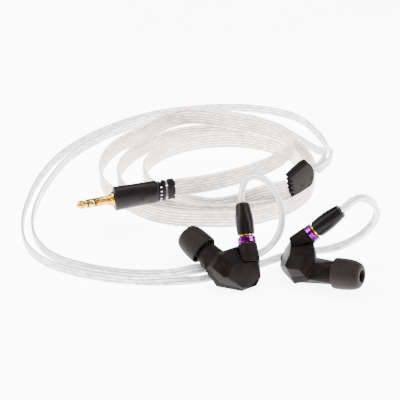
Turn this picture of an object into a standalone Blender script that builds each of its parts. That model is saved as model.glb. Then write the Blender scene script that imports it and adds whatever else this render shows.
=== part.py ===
"""In-ear monitors with a clear flat cable, laid out on a table.

Two mirrored earpieces hang on a flat cable: a wide stretch from the jack plug to the splitter, then a
narrow branch to each side. Each branch ends in a round snap connector, on which its earpiece swivels.
World axes: +X to the right, +Y away from the front, +Z up; z = 0 is the table top. Units are metres.
"""

import math

import bmesh
import bpy
from mathutils import Euler, Matrix, Vector

MM = 0.001
GAP = 0.3 * MM            # clearance between neighbouring pieces
FINE_STEPS = 24           # sides of a visible turned piece
SMALL_STEPS = 16          # sides of an inner turned piece

# Layout: the coil, the plug and the earpieces are drawn about the middle of the coil, and this carries
# them to the origin, which lies on the table under the middle of the two earpieces.
LAYOUT_SHIFT = Vector((-25.46, 50.56, 0.0))

# Earpiece frame: origin in the connector's ring, +Z up the connector, -Y out of the faceplate,
# -X towards the nozzle (the right earpiece is its mirror image).
LEFT_PLACE = Vector((16.9, -48.9, 14.46))
LEFT_TURN = (-45.0, 0.6, 9.6)
RIGHT_PLACE = Vector((41.0, -44.1, 14.5))
RIGHT_TURN = (-46.4, 5.3, -81.7)

# Shell and faceplate
SPLIT_Y = 1.2             # height of the joint between faceplate and shell
WALL = 0.9
TOWER_RADIUS = 3.5
TOWER_TOP = -1.4
TOWER_FOOT = -8.0
CREST = Vector((-6.7, -4.2, -9.3))        # where the three big facets meet
FACET_TOP = Vector((-11.0, -2.6, -4.7))
FACET_LOW = Vector((-9.4, -3.2, -13.6))
FACET_END = Vector((3.3, -1.4, -8.0))
OUTLINE = ((-3.6, -1.6), (-12.2, -3.6), (-15.2, -9.0), (-11.4, -14.4), (-3.4, -17.4), (2.0, -16.4),
           (3.8, -13.4), (3.9, -6.0), (3.3, -1.6))

# Nozzle and ear tip
NOZZLE_ROOT = Vector((-14.2, 9.2, -1.4))
NOZZLE_AIM = Vector((-0.57, 0.34, 0.75)).normalized()
NECK_RADIUS = 4.3
NOZZLE_RADIUS = 2.7
NOZZLE_BORE = 1.7
NOZZLE_LENGTH = 5.6
TIP_SKIRT = 0.6           # skirt edge, measured from the nozzle root
TIP_TOP = 10.8
TIP_RADIUS = 5.7

# Snap connector, along +Z of the earpiece frame
RING_RADIUS = 3.4
RING_HALF = 1.1
SOCKET_RADIUS = 2.1
BARREL_FOOT = 2.1
BARREL_TOP = 13.6

# Cables
WIDE = 8.0
NARROW = 4.0
THICK = 1.2
ON_EDGE = 4.2             # height of the wide cable's middle when it stands on the table
SLIM_EDGE = 2.2           # the same for a narrow branch
LYING = 0.85              # a branch lying flat
CROSSING = 12.9           # the wide cable riding over another turn

# Jack plug
JACK_END = Vector((-46.9, -24.9, 13.6))
JACK_AIM = Vector((0.947, 0.32, 0.0)).normalized()
JACK_STEPS = 20
HOUSING_TALL = 10.2        # at the plug; the cable end is narrower
HOUSING_NARROWING = 0.91
HOUSING_DEEP = 7.2
COMB_TALL = 9.2

# Splitter
SPLITTER_MIDDLE = Vector((40.5, -8.0, 14.7))
SPLITTER_AIM = Vector((0.88, 0.36, 0.31)).normalized()

EDGE = Vector((0, 0, 1))                  # across the cable where it stands on edge
LEFT_HOOK = Vector((-0.11, 0.98, -0.18))  # across the left branch in its ear hook
RIGHT_HOOK = Vector((-0.30, 0.90, 0.32))
FLAT = Vector((-0.33, 0.94, 0.0))         # across a branch lying flat under an earpiece

# Routes: place of the cable's middle and the direction across its width
PLUG_END = ((-2.6, -9.6, 13.1), (3.4, -7.0, 12.6), (9.8, -3.2, 11.8), (16.0, 0.9, 11.2),
            (21.2, 4.4, 10.9), (25.9, 7.6, 11.0), (30.2, 10.8, 11.4), (34.2, 14.4, 12.1),
            (37.2, 18.6, 12.8), (38.4, 23.2, CROSSING), (37.2, 27.8, CROSSING),
            (33.6, 31.8, CROSSING), (28.8, 35.4, CROSSING), (23.2, 38.6, CROSSING),
            (17.0, 41.2, CROSSING), (10.0, 43.8, CROSSING), (2.0, 46.6, CROSSING),
            (-6.0, 49.0, 11.8), (-14.0, 49.4, 9.2), (-22.0, 46.8, 6.2), (-29.4, 42.0, 4.6))
COIL = ((-35.8, 35.4), (-40.2, 25.0), (-41.0, 12.5),
        (-37.3, 1.0), (-28.0, -9.0), (-18.5, -16.0), (-8.0, -19.5), (4.0, -20.0), (16.0, -19.5),
        (28.0, -15.5), (38.0, -8.0), (44.6, 1.5), (47.2, 13.5), (45.6, 25.5), (39.6, 36.0),
        (30.0, 43.0), (18.0, 47.0), (4.0, 48.0), (-9.5, 45.0), (-22.0, 37.0), (-30.2, 26.0),
        (-33.6, 13.0), (-30.4, 0.5), (-21.6, -8.5), (-9.6, -13.5), (4.0, -15.5), (17.0, -14.5),
        (28.6, -11.0), (37.2, -3.0), (42.2, 8.5), (42.6, 19.5), (38.8, 29.0), (31.6, 36.0),
        (21.5, 40.5), (9.0, 41.5), (-4.0, 38.5), (-15.0, 31.5), (-21.6, 22.0), (-22.8, 12.0),
        (-18.0, 1.5), (-8.6, -6.0))
SPLITTER_END = ((2.0, -10.6, 4.3), (10.0, -11.2, 5.0), (17.5, -11.4, 7.4), (24.0, -11.6, 10.2))
RIGHT_BRANCH = (((51.0, 0.0, 18.6), EDGE), ((53.0, 7.4, 16.8), EDGE), ((54.2, 16.0, 12.6), EDGE),
                ((54.8, 25.5, 7.6), EDGE), ((54.6, 36.0, 3.4), EDGE), ((52.2, 49.0, SLIM_EDGE), EDGE),
                ((44.0, 64.6, SLIM_EDGE), EDGE), ((27.0, 73.0, SLIM_EDGE), EDGE),
                ((4.0, 74.0, SLIM_EDGE), EDGE), ((-22.0, 67.4, SLIM_EDGE), EDGE),
                ((-43.0, 52.6, SLIM_EDGE), EDGE), ((-58.0, 34.4, SLIM_EDGE), EDGE),
                ((-66.0, 14.0, SLIM_EDGE), EDGE), ((-69.0, -7.0, SLIM_EDGE), EDGE),
                ((-68.6, -23.0, SLIM_EDGE), EDGE), ((-64.6, -36.4, SLIM_EDGE), EDGE),
                ((-55.4, -46.6, SLIM_EDGE), EDGE), ((-41.0, -53.2, SLIM_EDGE), EDGE),
                ((-25.0, -56.6, SLIM_EDGE), EDGE), ((-11.0, -56.6, 2.1), (EDGE + FLAT) / 2),
                ((0.0, -54.2, LYING), FLAT), ((8.0, -51.2, LYING), FLAT),
                ((16.0, -48.0, LYING), FLAT), ((24.0, -44.0, LYING), FLAT),
                ((32.0, -39.6, LYING), FLAT), ((39.5, -37.1, LYING), FLAT),
                ((46.5, -36.0, 1.0), FLAT), ((52.4, -35.1, 2.0), (FLAT + RIGHT_HOOK) / 2),
                ((58.0, -34.3, 4.6), RIGHT_HOOK), ((62.2, -34.2, 8.4), RIGHT_HOOK),
                ((64.6, -35.0, 12.8), RIGHT_HOOK), ((65.2, -36.4, 17.6), RIGHT_HOOK),
                ((64.0, -38.4, 22.2), RIGHT_HOOK), ((61.2, -40.8, 26.3), RIGHT_HOOK),
                ((58.0, -42.4, 28.4), RIGHT_HOOK), ((55.2, -43.3, 28.1), RIGHT_HOOK))
LEFT_BRANCH = (((48.9, 0.6, 18.8), EDGE), ((50.4, 7.6, 17.0), EDGE), ((51.2, 15.6, 12.8), EDGE),
               ((50.8, 26.0, 7.6), EDGE), ((48.0, 36.6, 3.4), EDGE),
               ((42.2, 47.0, SLIM_EDGE), EDGE), ((34.2, 56.6, SLIM_EDGE), EDGE),
               ((22.0, 64.6, SLIM_EDGE), EDGE), ((4.0, 68.2, SLIM_EDGE), EDGE),
               ((-21.0, 62.8, SLIM_EDGE), EDGE), ((-41.0, 48.6, SLIM_EDGE), EDGE),
               ((-54.6, 31.4, SLIM_EDGE), EDGE), ((-62.0, 11.0, SLIM_EDGE), EDGE),
               ((-65.2, -7.0, SLIM_EDGE), EDGE), ((-64.8, -22.0, SLIM_EDGE), EDGE),
               ((-61.0, -33.6, SLIM_EDGE), EDGE), ((-53.0, -43.0, SLIM_EDGE), EDGE),
               ((-40.0, -49.2, SLIM_EDGE), EDGE), ((-25.0, -52.6, SLIM_EDGE), EDGE),
               ((-11.0, -52.4, SLIM_EDGE), EDGE), ((-2.0, -49.8, 2.1), (EDGE + FLAT) / 2),
               ((5.8, -46.6, LYING), FLAT), ((13.2, -43.4, LYING), FLAT),
               ((20.0, -40.4, 1.2), FLAT), ((25.4, -38.2, 3.4), (LEFT_HOOK + FLAT) / 2),
               ((29.0, -36.8, 7.8), LEFT_HOOK), ((30.4, -35.8, 13.5), LEFT_HOOK),
               ((29.9, -34.9, 20.0), LEFT_HOOK), ((27.4, -34.2, 26.2), LEFT_HOOK),
               ((23.8, -33.8, 30.6), LEFT_HOOK), ((19.6, -33.6, 32.2), LEFT_HOOK),
               ((16.4, -34.6, 30.8), LEFT_HOOK))


def clear_scene():
    for item in list(bpy.data.objects):
        bpy.data.objects.remove(item, do_unlink=True)


def finish_material(name, colour, roughness, metallic=0.0):
    """One Principled material, made once and shared by the pieces of that finish."""
    found = bpy.data.materials.get(name)
    if found:
        return found
    made = bpy.data.materials.new(name)
    made.use_nodes = True
    shader = made.node_tree.nodes["Principled BSDF"]
    shader.inputs["Base Color"].default_value = (*colour, 1.0)
    shader.inputs["Roughness"].default_value = roughness
    shader.inputs["Metallic"].default_value = metallic
    return made


def shell_black():
    return finish_material("shell_black", (0.028, 0.023, 0.023), 0.38)


def silicone():
    return finish_material("tip_silicone", (0.045, 0.043, 0.042), 0.6)


def purple():
    return finish_material("purple_anodised", (0.35, 0.03, 0.5), 0.22, 1.0)


def gold():
    return finish_material("gold_plate", (0.9, 0.62, 0.25), 0.2, 1.0)


def steel():
    return finish_material("steel", (0.6, 0.6, 0.6), 0.3, 1.0)


def black_plastic():
    return finish_material("black_plastic", (0.03, 0.028, 0.028), 0.42)


def white_plastic():
    return finish_material("white_insulator", (0.85, 0.85, 0.82), 0.5)


def board_green():
    return finish_material("circuit_board", (0.03, 0.12, 0.05), 0.5)


def clear_cable():
    return finish_material("clear_cable", (0.82, 0.8, 0.78), 0.25)


def add_mesh_object(name, bm, material, parent=None):
    """Put a finished bmesh, drawn in millimetres, into the scene as one object in metres."""
    bmesh.ops.remove_doubles(bm, verts=bm.verts, dist=1e-5)
    bmesh.ops.recalc_face_normals(bm, faces=bm.faces)
    bmesh.ops.scale(bm, vec=(MM, MM, MM), verts=bm.verts)
    mesh = bpy.data.meshes.new(name)
    bm.to_mesh(mesh)
    bm.free()
    mesh.shade_smooth()
    mesh.set_sharp_from_angle(angle=math.radians(30))
    made = bpy.data.objects.new(name, mesh)
    made.data.materials.append(material)
    bpy.context.scene.collection.objects.link(made)
    made.parent = parent
    return made


def turned(profile, steps, axis_from=Vector((0, 0, 0)), axis_aim=Vector((0, 0, 1))):
    """Turn a closed (radius, height) profile around an axis; points at radius 0 become the poles."""
    bm = bmesh.new()
    points = [bm.verts.new((radius, 0, height)) for radius, height in profile]
    edges = [bm.edges.new(pair) for pair in zip(points, points[1:])]
    if profile[0][0] > 0:
        edges.append(bm.edges.new((points[-1], points[0])))
    bmesh.ops.spin(bm, geom=points + edges, cent=(0, 0, 0), axis=(0, 0, 1), angle=math.tau,
                   steps=steps, use_merge=True)
    bmesh.ops.remove_doubles(bm, verts=bm.verts, dist=1e-4)
    turn = Vector((0, 0, 1)).rotation_difference(axis_aim).to_matrix().to_4x4()
    bmesh.ops.transform(bm, matrix=Matrix.Translation(axis_from) @ turn, verts=bm.verts)
    return bm


def block(low, high):
    """A rectangular block between two opposite corners."""
    bm = bmesh.new()
    bmesh.ops.create_cube(bm, size=1.0)
    size = [b - a for a, b in zip(low, high)]
    middle = [(a + b) / 2 for a, b in zip(low, high)]
    bmesh.ops.scale(bm, vec=size, verts=bm.verts)
    bmesh.ops.translate(bm, vec=middle, verts=bm.verts)
    return bm


def cut_off(bm, point, outward):
    """Slice away what lies on the outward side of a plane and close the cut."""
    cut = bmesh.ops.bisect_plane(bm, geom=bm.verts[:] + bm.edges[:] + bm.faces[:], plane_co=point,
                                 plane_no=outward, clear_outer=True, dist=1e-6)
    rim = [item for item in cut["geom_cut"] if isinstance(item, bmesh.types.BMEdge)]
    bmesh.ops.edgenet_fill(bm, edges=rim)


def plane_through(a, b, c, away_from):
    """Point and normal of the plane through three points, pointing away from an inner point."""
    normal = (b - a).cross(c - a).normalized()
    if normal.dot(away_from - a) > 0:
        normal.negate()
    return a, normal


def hull(points):
    """Smallest convex solid around the points."""
    bm = bmesh.new()
    for point in points:
        bm.verts.new(point)
    made = bmesh.ops.convex_hull(bm, input=bm.verts)
    spare = [item for item in made["geom_interior"] if isinstance(item, bmesh.types.BMVert)]
    bmesh.ops.delete(bm, geom=spare, context="VERTS")
    bmesh.ops.dissolve_limit(bm, angle_limit=math.radians(1), verts=bm.verts, edges=bm.edges)
    return bm


def boolean(target, tool, operation):
    """Add the tool to the target, or cut it away; the tool itself is only a guide."""
    modifier = target.modifiers.new(operation.lower(), "BOOLEAN")
    modifier.operation = operation
    modifier.solver = "EXACT"
    modifier.object = tool
    tool.hide_render = True
    tool.display_type = "WIRE"


# ---------------------------------------------------------------------------------------------------
# Shell and faceplate


def outline_at(y, inset=0.0):
    """The parting outline as points at height y, drawn in towards its middle by inset."""
    middle = Vector((sum(x for x, z in OUTLINE), sum(z for x, z in OUTLINE))) / len(OUTLINE)
    points = []
    for x, z in OUTLINE:
        corner = Vector((x, z))
        inward = (middle - corner).normalized() * inset
        points.append(Vector((corner.x + inward.x, y, corner.y + inward.y)))
    return points


def ring_points(middle, aim, radius, count):
    """Points evenly round a circle that faces along aim."""
    turn = Vector((0, 0, 1)).rotation_difference(aim)
    points = []
    for step in range(count):
        angle = math.tau * step / count
        flat = Vector((radius * math.cos(angle), radius * math.sin(angle), 0))
        points.append(middle + turn @ flat)
    return points


def faceplate_gem(sink):
    """The cut faceplate: a block with its three facets and sloping sides sliced off, sunk by sink."""
    bm = block((-25, -8, -25), (12, SPLIT_Y - sink, 6))
    inside = Vector((-5, 0, -9))
    low = Vector((0, sink, 0))
    facets = ((CREST, FACET_TOP, FACET_LOW), (CREST, FACET_TOP, FACET_END),
              (CREST, FACET_LOW, FACET_END))
    for a, b, c in facets:
        cut_off(bm, *plane_through(a + low, b + low, c + low, inside))
    rim = outline_at(SPLIT_Y, sink)
    for here, after in zip(rim, rim[1:] + rim[:1]):
        raised = (here + after) / 2 + Vector((0, -4.0, 0))
        inward = (inside - raised)
        inward.y = 0
        raised += inward.normalized() * 1.7
        cut_off(bm, *plane_through(here, after, raised, inside))
    return bm


def body_form(inset):
    """The rear shell's outer or inner body: the parting outline drawn back to a belly."""
    top = SPLIT_Y + GAP / MM if inset == 0 else SPLIT_Y - 2
    points = outline_at(top, inset)
    belly = ((-15.8, 3.4, -9.4), (-12.4, 3.6, -15.2), (-3.6, 2.6, -17.9), (2.0, 3.0, -16.4),
             (2.6, 4.6, -8.0), (0.5, 4.8, -4.5), (-3.5, 4.6, -14.6), (-10.5, 5.4, -13.2),
             (-6.0, 6.4, -10.0), (-8.0, 6.0, -4.5), (-13.0, 4.4, -4.4))
    middle = Vector((-6, 2, -9))
    for spot in belly:
        spot = Vector(spot)
        points.append(spot + (middle - spot).normalized() * inset)
    return hull(points)


def neck_form(inset):
    """The neck: a tapering form from the body's nozzle side to the round nozzle seat."""
    points = ring_points(NOZZLE_ROOT - NOZZLE_AIM * inset, NOZZLE_AIM, NECK_RADIUS - inset, 14)
    foot = ((-12.0, 2.4, -3.8), (-15.4, 3.0, -9.2), (-12.2, 3.4, -14.6), (-10.4, 5.3, -13.0),
            (-5.0, 5.8, -10.0), (-5.5, 5.4, -4.6), (-8.0, 3.0, -8.0))
    middle = Vector((-10, 4, -8))
    for spot in foot:
        spot = Vector(spot)
        points.append(spot + (middle - spot).normalized() * inset)
    return hull(points)


def form(name, bm, parent):
    """A guide solid that only shapes other pieces."""
    return add_mesh_object(f"{name}_form", bm, shell_black(), parent)


def round_edges(item, width, angle, segments):
    edge = item.modifiers.new("soft_edges", "BEVEL")
    edge.width = width * MM
    edge.segments = segments
    edge.limit_method = "ANGLE"
    edge.angle_limit = math.radians(angle)


def make_shell(side, parent):
    shell = add_mesh_object(f"{side}_shell", body_form(0), shell_black(), parent)
    boolean(shell, form(f"{side}_neck", neck_form(0), parent), "UNION")
    tower = turned(((0, TOWER_TOP), (TOWER_RADIUS, TOWER_TOP), (TOWER_RADIUS + 0.4, TOWER_FOOT),
                    (0, TOWER_FOOT)), 24)
    boolean(shell, form(f"{side}_tower", tower, parent), "UNION")
    boolean(shell, form(f"{side}_body_room", body_form(WALL), parent), "DIFFERENCE")
    boolean(shell, form(f"{side}_neck_room", neck_form(WALL), parent), "DIFFERENCE")
    socket_hole = turned(((0, 3), (SOCKET_RADIUS + 0.2, 3), (SOCKET_RADIUS + 0.2, -9.0), (0, -9.0)), 20)
    boolean(shell, form(f"{side}_socket_hole", socket_hole, parent), "DIFFERENCE")
    nozzle_hole = turned(((0, -4), (NOZZLE_RADIUS + 0.1, -4), (NOZZLE_RADIUS + 0.1, 2), (0, 2)), 20,
                         NOZZLE_ROOT, NOZZLE_AIM)
    boolean(shell, form(f"{side}_nozzle_hole", nozzle_hole, parent), "DIFFERENCE")


def make_faceplate(side, parent):
    plate = add_mesh_object(f"{side}_faceplate", faceplate_gem(0.0), shell_black(), parent)
    round_edges(plate, 0.15, 12, 1)
    hollow = form(f"{side}_hollow", faceplate_gem(1.0), parent)
    hollow.location.y = GAP
    boolean(plate, hollow, "DIFFERENCE")
    around = turned(((0, 4), (TOWER_RADIUS + 0.25, 4), (TOWER_RADIUS + 0.7, TOWER_FOOT - 0.3),
                     (0, TOWER_FOOT - 0.3)), 24)
    boolean(plate, form(f"{side}_tower_room", around, parent), "DIFFERENCE")


# ---------------------------------------------------------------------------------------------------
# Nozzle, ear tip and the drivers inside


def make_nozzle(side, parent):
    profile = ((NOZZLE_BORE, -2.2), (NOZZLE_RADIUS - 0.1, -2.2), (NOZZLE_RADIUS - 0.1, 0.3),
               (3.4, 0.3), (3.4, 0.9), (2.4, 0.9), (2.4, 4.0), (NOZZLE_RADIUS, 4.4),
               (NOZZLE_RADIUS, 5.2), (2.4, NOZZLE_LENGTH), (NOZZLE_BORE, NOZZLE_LENGTH))
    add_mesh_object(f"{side}_nozzle", turned(profile, 20, NOZZLE_ROOT, NOZZLE_AIM), steel(), parent)


def make_nozzle_mesh(side, parent):
    """The wax guard: a thin disc of fine mesh in the nozzle's mouth."""
    radius = NOZZLE_BORE - 0.1
    disc = turned(((0, 4.9), (radius, 4.9), (radius, 5.15), (0, 5.15)), 20, NOZZLE_ROOT, NOZZLE_AIM)
    add_mesh_object(f"{side}_nozzle_mesh", disc, steel(), parent)


def make_ear_tip(side, parent):
    core = NOZZLE_RADIUS + 0.1
    profile = ((core, 1.3), (3.6, 1.3), (3.6, 7.4), (4.3, 8.1), (4.8, 6.9), (5.15, 4.2),
               (5.2, TIP_SKIRT), (TIP_RADIUS - 0.05, TIP_SKIRT), (TIP_RADIUS, 3.2), (5.55, 6.4),
               (5.1, 8.6), (4.3, 10.1), (3.3, TIP_TOP - 0.1), (2.6, TIP_TOP), (2.1, TIP_TOP - 0.4),
               (2.1, 6.1), (core, 5.8))
    tip = turned(profile, FINE_STEPS, NOZZLE_ROOT, NOZZLE_AIM)
    add_mesh_object(f"{side}_ear_tip", tip, silicone(), parent)


def make_drivers(side, parent):
    woofer = block((-10.6, 1.4, -14.0), (-3.6, 3.5, -10.8))
    add_mesh_object(f"{side}_woofer", woofer, steel(), parent)
    tweeter = block((-10.6, 1.7, -10.2), (-5.4, 4.0, -7.6))
    add_mesh_object(f"{side}_tweeter", tweeter, steel(), parent)
    board = block((-2.8, 1.9, -14.0), (1.0, 2.7, -9.4))
    add_mesh_object(f"{side}_crossover_board", board, board_green(), parent)


def make_sound_tube(side, parent):
    """The acoustic tube from the drivers' spouts into the nozzle, with its damper plug."""
    tube = turned(((0.9, -5.0), (1.5, -5.0), (1.5, 2.0), (0.9, 2.0)), SMALL_STEPS,
                  NOZZLE_ROOT, NOZZLE_AIM)
    add_mesh_object(f"{side}_sound_tube", tube, clear_cable(), parent)
    damper = turned(((0, -1.0), (0.8, -1.0), (0.8, 1.0), (0, 1.0)), SMALL_STEPS,
                    NOZZLE_ROOT, NOZZLE_AIM)
    add_mesh_object(f"{side}_damper", damper, white_plastic(), parent)


# ---------------------------------------------------------------------------------------------------
# Snap connector: the socket half in the shell and the plug half on the cable


def make_socket(side, parent):
    ring = turned(((SOCKET_RADIUS + 0.2, -RING_HALF), (RING_RADIUS - 0.2, -RING_HALF),
                   (RING_RADIUS, 0.2 - RING_HALF), (RING_RADIUS, RING_HALF - 0.2),
                   (RING_RADIUS - 0.2, RING_HALF), (SOCKET_RADIUS + 0.2, RING_HALF)), FINE_STEPS)
    add_mesh_object(f"{side}_socket_ring", ring, purple(), parent)
    body = turned(((1.35, 0.9), (SOCKET_RADIUS, 0.9), (SOCKET_RADIUS, -6.4), (1.35, -6.4)), 20)
    add_mesh_object(f"{side}_socket_body", body, gold(), parent)
    insulator = turned(((0.55, -6.2), (0.55, -3.4), (1.25, -3.4), (1.25, -6.2)), SMALL_STEPS)
    add_mesh_object(f"{side}_socket_insulator", insulator, white_plastic(), parent)
    contact = turned(((0, -3.2), (0.3, -3.2), (0.3, -1.6), (0.45, -1.6), (0.45, -7.2), (0, -7.2)), 12)
    add_mesh_object(f"{side}_socket_contact", contact, gold(), parent)


def make_plug_half(side, parent):
    sleeve = turned(((0.85, -2.6), (1.2, -2.6), (1.2, -1.4), (1.0, -1.4), (1.0, -0.6), (1.2, -0.6),
                     (1.2, 1.35), (2.7, 1.35), (2.7, 1.85), (1.9, 1.85), (1.9, 5.0), (0.85, 5.0)), 20)
    add_mesh_object(f"{side}_plug_sleeve", sleeve, gold(), parent)
    insulator = turned(((0.3, -1.0), (0.75, -1.0), (0.75, 4.8), (0.3, 4.8)), SMALL_STEPS)
    add_mesh_object(f"{side}_plug_insulator", insulator, white_plastic(), parent)
    pin = turned(((0, -2.8), (0.2, -2.6), (0.2, 5.4), (0, 5.4)), 10)
    add_mesh_object(f"{side}_plug_pin", pin, gold(), parent)
    barrel = turned(((0, BARREL_TOP), (2.35, BARREL_TOP), (2.55, BARREL_TOP - 0.3), (3.35, 8.2),
                     (3.3, 2.6), (3.15, BARREL_FOOT), (2.1, BARREL_FOOT), (2.1, 6.2), (0, 6.2)),
                    FINE_STEPS)
    add_mesh_object(f"{side}_connector_barrel", barrel, black_plastic(), parent)


def make_snap_ring(side, parent):
    """The open spring ring that sits in the sleeve's groove and clicks into the socket."""
    bm = bmesh.new()
    corners = [bm.verts.new(spot) for spot in ((1.08, 0, -1.2), (1.3, 0, -1.2), (1.3, 0, -0.8),
                                               (1.08, 0, -0.8))]
    face = bm.faces.new(corners)
    bmesh.ops.spin(bm, geom=[face], cent=(0, 0, 0), axis=(0, 0, 1), angle=math.radians(310),
                   steps=14, use_duplicate=False)
    bm.faces.ensure_lookup_table()
    add_mesh_object(f"{side}_snap_ring", bm, steel(), parent)


# ---------------------------------------------------------------------------------------------------
# Cables


def smooth_path(points, spacing):
    """Even points along a smooth curve through the given ones."""
    ends = [2 * points[0] - points[1]] + list(points) + [2 * points[-1] - points[-2]]
    fine = []
    for before, here, after, beyond in zip(ends, ends[1:], ends[2:], ends[3:]):
        for step in range(24):
            t = step / 24
            fine.append(0.5 * (2 * here + (after - before) * t
                               + (2 * before - 5 * here + 4 * after - beyond) * t * t
                               + (3 * here - before - 3 * after + beyond) * t ** 3))
    fine.append(points[-1].copy())
    lengths = [0.0]
    for here, after in zip(fine, fine[1:]):
        lengths.append(lengths[-1] + (after - here).to_3d().length)
    count = round(lengths[-1] / spacing)
    even = []
    place = 0
    for number in range(count + 1):
        want = lengths[-1] * number / count
        while place < len(fine) - 2 and lengths[place + 1] < want:
            place += 1
        share = (want - lengths[place]) / (lengths[place + 1] - lengths[place])
        even.append(fine[place].lerp(fine[place + 1], share))
    return even


def make_cable(name, route, width, spacing):
    """A flat cable with rounded edges: route gives its middle and the direction across it."""
    middles = smooth_path([Vector(spot) for spot, across in route], spacing)
    leans = smooth_path_like([Vector(spot) for spot, across in route],
                             [across for spot, across in route], len(middles))
    half, flat, thin = width / 2, width / 2 - 0.45, THICK / 2
    profile = ((half, 0), (flat, thin), (-flat, thin), (-half, 0), (-flat, -thin), (flat, -thin))
    bm = bmesh.new()
    rings = []
    for number, middle in enumerate(middles):
        ahead = middles[min(number + 1, len(middles) - 1)] - middles[max(number - 1, 0)]
        ahead.normalize()
        across = (leans[number] - ahead * leans[number].dot(ahead)).normalized()
        through = ahead.cross(across)
        centre = middle + LAYOUT_SHIFT
        rings.append([bm.verts.new(centre + across * a + through * t) for a, t in profile])
    for here, after in zip(rings, rings[1:]):
        for side in range(len(profile)):
            beside = (side + 1) % len(profile)
            bm.faces.new((here[side], here[beside], after[beside], after[side]))
    bm.faces.new(rings[0])
    bm.faces.new(rings[-1])
    return add_mesh_object(name, bm, clear_cable())


def smooth_path_like(points, values, count):
    """The values given at the route's points, read at count even distances along it."""
    steps = [0.0]
    for here, after in zip(points, points[1:]):
        steps.append(steps[-1] + (after - here).length)
    read = []
    place = 0
    for number in range(count):
        want = steps[-1] * number / (count - 1)
        while place < len(points) - 2 and steps[place + 1] < want:
            place += 1
        share = min(1.0, (want - steps[place]) / (steps[place + 1] - steps[place]))
        read.append(values[place].lerp(values[place + 1], share))
    return read


def make_cables(left_frame, right_frame):
    coil = [(x, y, ON_EDGE) for x, y in COIL]
    split_face = SPLITTER_MIDDLE - SPLITTER_AIM * 7.5 + EDGE * 0.8
    plug_face = JACK_END + JACK_AIM * 39.4
    wide = [plug_face, plug_face + JACK_AIM * 2.5] + list(PLUG_END) + coil
    wide += list(SPLITTER_END) + [split_face - SPLITTER_AIM * 2.5, split_face]
    make_cable("main_cable", [(spot, EDGE) for spot in wide], WIDE, 6.5)
    aside = Vector((-SPLITTER_AIM.y, SPLITTER_AIM.x, 0)).normalized()
    branch_face = SPLITTER_MIDDLE + SPLITTER_AIM * 5.1 + EDGE * 2.0
    for side, frame, branch, across, shift in (("left", left_frame, LEFT_BRANCH, LEFT_HOOK, 0.9),
                                               ("right", right_frame, RIGHT_BRANCH, RIGHT_HOOK, -0.9)):
        start = (branch_face + aside * shift, EDGE)
        stub = (branch_face + aside * shift + SPLITTER_AIM * 2.0, EDGE)
        last = (frame @ Vector((0, 0, BARREL_TOP + 3.0)), across)
        end = (frame @ Vector((0, 0, BARREL_TOP + 0.3)), across)
        make_cable(f"{side}_branch_cable", [start, stub] + list(branch) + [last, end], NARROW, 6.5)


# ---------------------------------------------------------------------------------------------------
# Jack plug and splitter


def jack_frame():
    """Turns +Z into the jack's axis, with +Y straight up."""
    across = Vector((0, 0, 1)).cross(JACK_AIM).normalized()
    turn = Matrix((across, Vector((0, 0, 1)), JACK_AIM)).transposed().to_4x4()
    return Matrix.Translation(JACK_END + LAYOUT_SHIFT) @ turn


def jack_piece(name, profile, material):
    bm = turned(profile, JACK_STEPS)
    bmesh.ops.transform(bm, matrix=jack_frame(), verts=bm.verts)
    return add_mesh_object(name, bm, material)


def oval_prism(tall, deep, start, end, steps=28, narrowing=1.0):
    """An oval barrel along +Z, its far end smaller by the narrowing."""
    bm = bmesh.new()
    bmesh.ops.create_cone(bm, segments=steps, cap_ends=True, radius1=0.5,
                          radius2=0.5 * narrowing, depth=end - start)
    bmesh.ops.scale(bm, vec=(deep, tall, 1), verts=bm.verts)
    bmesh.ops.translate(bm, vec=(0, 0, (start + end) / 2), verts=bm.verts)
    return bm


def make_jack():
    jack_piece("jack_tip", ((0, 0), (0.7, 0.25), (1.6, 1.5), (1.75, 2.0), (1.15, 3.2), (1.6, 4.0),
                            (0.45, 4.0), (0.45, 16.0), (0, 16.0)), gold())
    jack_piece("jack_front_insulator", ((0.6, 4.1), (1.72, 4.1), (1.72, 4.6), (0.6, 4.6)),
               black_plastic())
    jack_piece("jack_ring", ((0.6, 4.7), (1.75, 4.7), (1.75, 6.8), (0.85, 6.8), (0.85, 16.0),
                             (0.6, 16.0)), gold())
    jack_piece("jack_rear_insulator", ((1.0, 6.9), (1.72, 6.9), (1.72, 7.5), (1.0, 7.5)),
               black_plastic())
    jack_piece("jack_sleeve", ((1.0, 7.6), (1.75, 7.6), (1.75, 12.2), (2.2, 12.2), (2.2, 13.6),
                               (2.9, 13.6), (2.9, 14.4), (2.0, 14.4), (2.0, 17.0), (1.0, 17.0)), gold())


def make_housing():
    bm = oval_prism(HOUSING_TALL, HOUSING_DEEP, 14.7, 32.0, narrowing=HOUSING_NARROWING)
    housing = add_jack_solid("jack_housing", bm)
    round_edges(housing, 0.5, 50, 2)
    bore = oval_prism(4.6, 4.6, 10.0, 20.0, 20)
    boolean(housing, add_jack_solid("bore_form", bore), "DIFFERENCE")
    drill = turned(((0, 0), (0.75, 0), (0.75, 3), (0, 3)), 12, Vector((-4.4, 0, 25.0)),
                   Vector((1, 0, 0)))
    side_drill = add_jack_solid("grub_hole_form", drill)
    boolean(housing, side_drill, "DIFFERENCE")
    screw = turned(((0, 0), (0.6, 0), (0.6, 1.6), (0, 1.6)), 12, Vector((-3.1, 0, 25.0)),
                   Vector((1, 0, 0)))
    add_jack_solid("jack_grub_screw", screw, steel())


def add_jack_solid(name, bm, material=None):
    bmesh.ops.transform(bm, matrix=jack_frame(), verts=bm.verts)
    return add_mesh_object(name, bm, material or black_plastic())


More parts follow.
